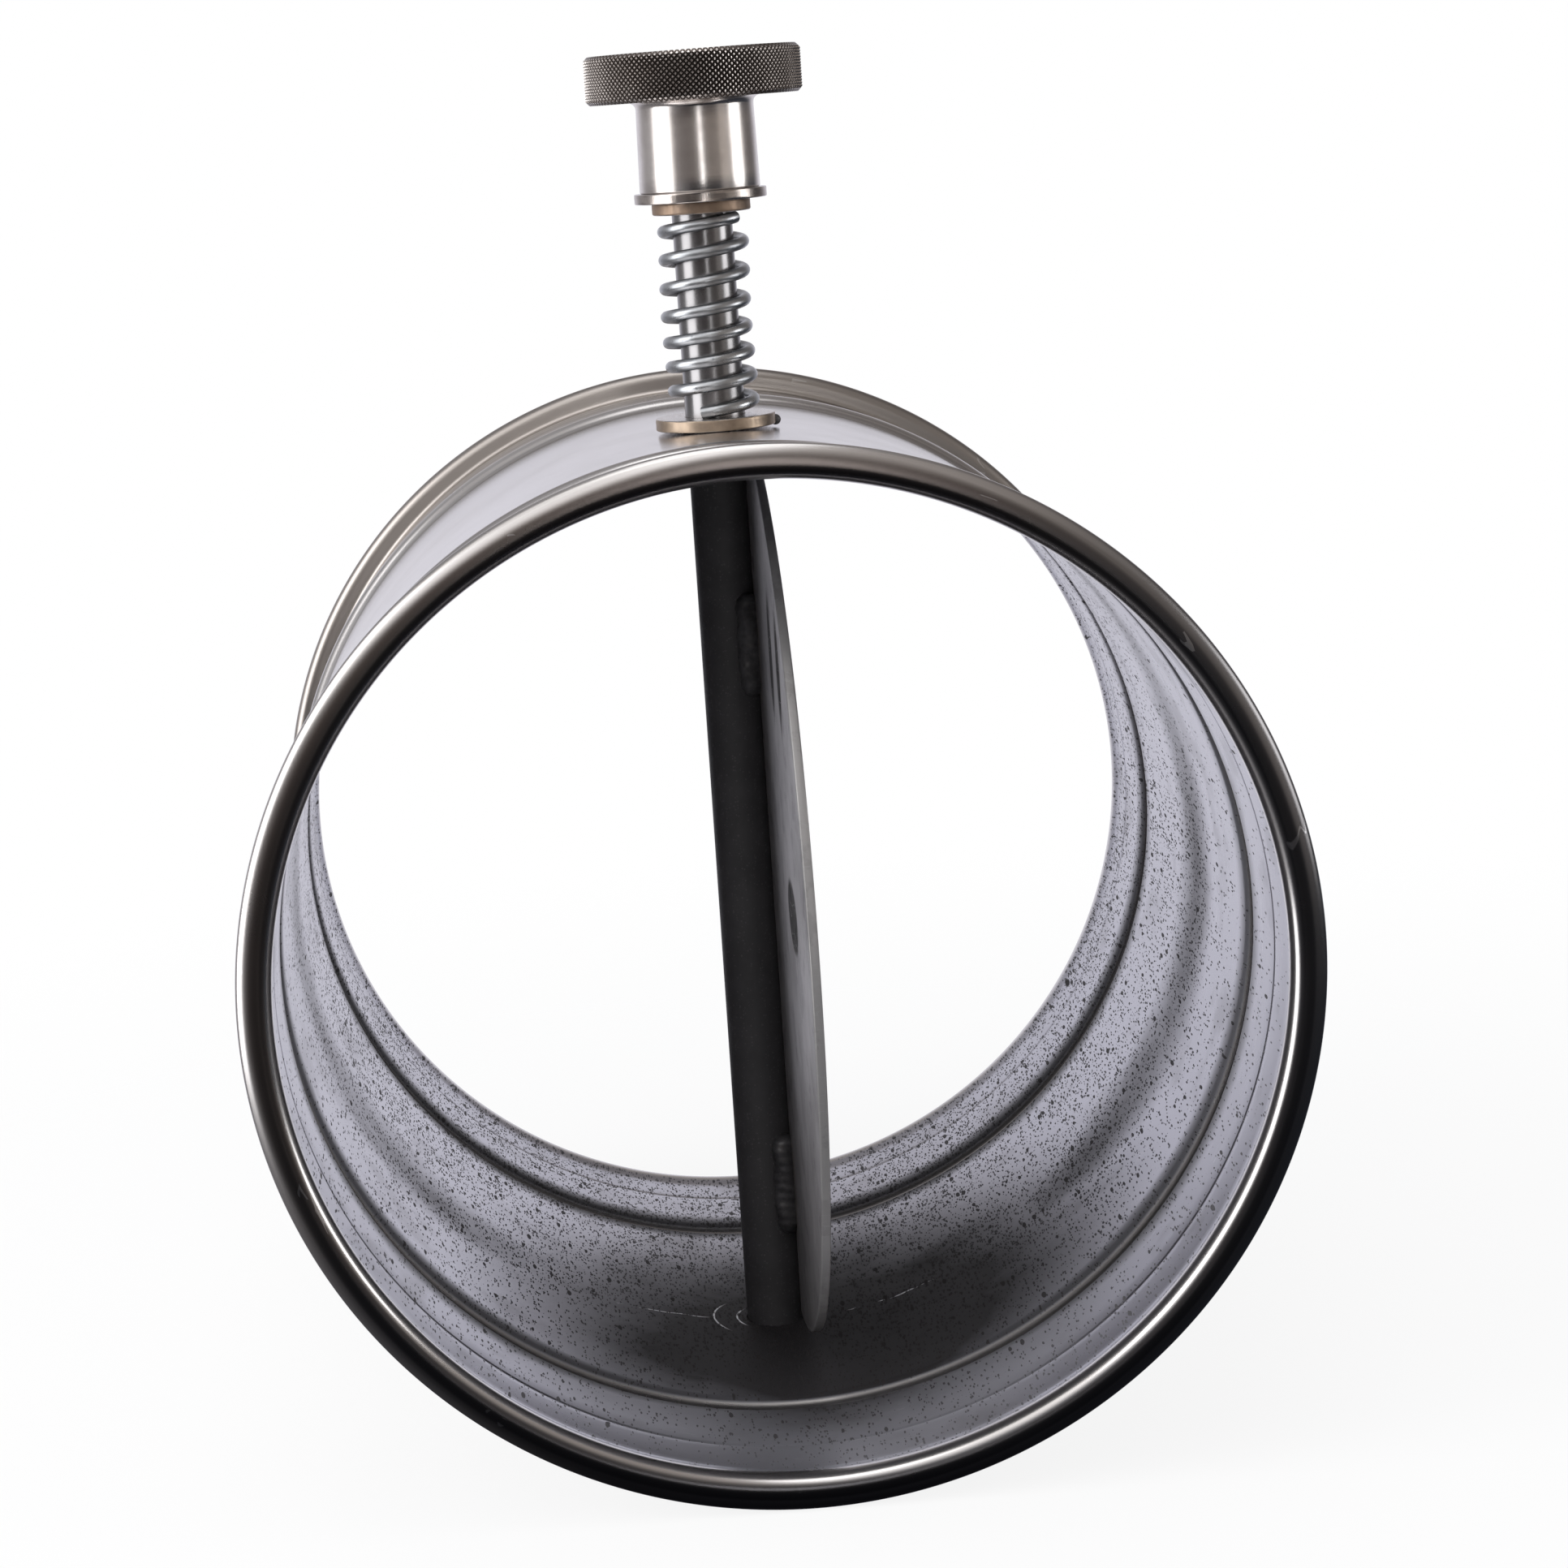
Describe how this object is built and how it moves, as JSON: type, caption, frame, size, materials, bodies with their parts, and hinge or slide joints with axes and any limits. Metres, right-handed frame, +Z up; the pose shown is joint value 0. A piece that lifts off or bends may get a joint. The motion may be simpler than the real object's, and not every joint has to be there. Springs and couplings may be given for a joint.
{
  "type": "volume control damper",
  "caption": "Short lipped steel duct with a turning disc blade on a vertical shaft, held where it is set by a spring under a knurled nut.",
  "frame": {"origin": "middle of the duct's length and width, at the lowest point of the lips", "axes": "+Z up along the shaft towards the nut, +Y along the duct from the front end to the back end, +X to the blade's side of the shaft"},
  "size_m": [0.164, 0.16, 0.2224],
  "materials": {
    "duct_steel": "satin inside, brighter outside",
    "washer_steel": "satin with a tarnished edge",
    "weld_metal": "rough weld with heat tint",
    "shaft_steel": "turned and bright",
    "blade_steel": "dull rolled sheet",
    "clip_steel": "dark spring steel",
    "spring_wire": "bright zinc",
    "polished_steel": "polished"
  },
  "bodies": {
    "duct": {"duct_shell": "duct_steel", "pad_washer": "washer_steel", "pad_tack_rear": "weld_metal", "pad_tack_right": "weld_metal"},
    "blade_shaft": {"shaft": "shaft_steel", "blade": "blade_steel", "weld_front_upper": "weld_metal", "weld_front_lower": "weld_metal", "weld_rear_upper": "weld_metal", "weld_rear_lower": "weld_metal", "foot_washer": "washer_steel", "retaining_clip": "clip_steel", "spring": "spring_wire"},
    "washers": {"spring_seat": "washer_steel", "clamp_washer": "polished_steel"},
    "nut": {"knurled_nut": "polished_steel"}
  },
  "joints": [
    {"name": "blade_turn", "type": "hinge", "parent": "duct", "child": "blade_shaft", "pos_m": [0, -0.004, 0.082], "axis": [0, 0, 1], "continuous": true},
    {"name": "nut_travel", "type": "slide", "parent": "blade_shaft", "child": "washers", "axis": [0, 0, 1], "range_m": [-0.009, 0], "deforming": ["spring"]},
    {"name": "nut_turn", "type": "hinge", "parent": "washers", "child": "nut", "pos_m": [0, -0.004, 0.21], "axis": [0, 0, 1], "range_deg": [-2160.5, 0.5]}
  ],
  "couplings": [
    {"joint": "nut_turn", "follows": "nut_travel", "rad_per_m": 4188.8}
  ]
}
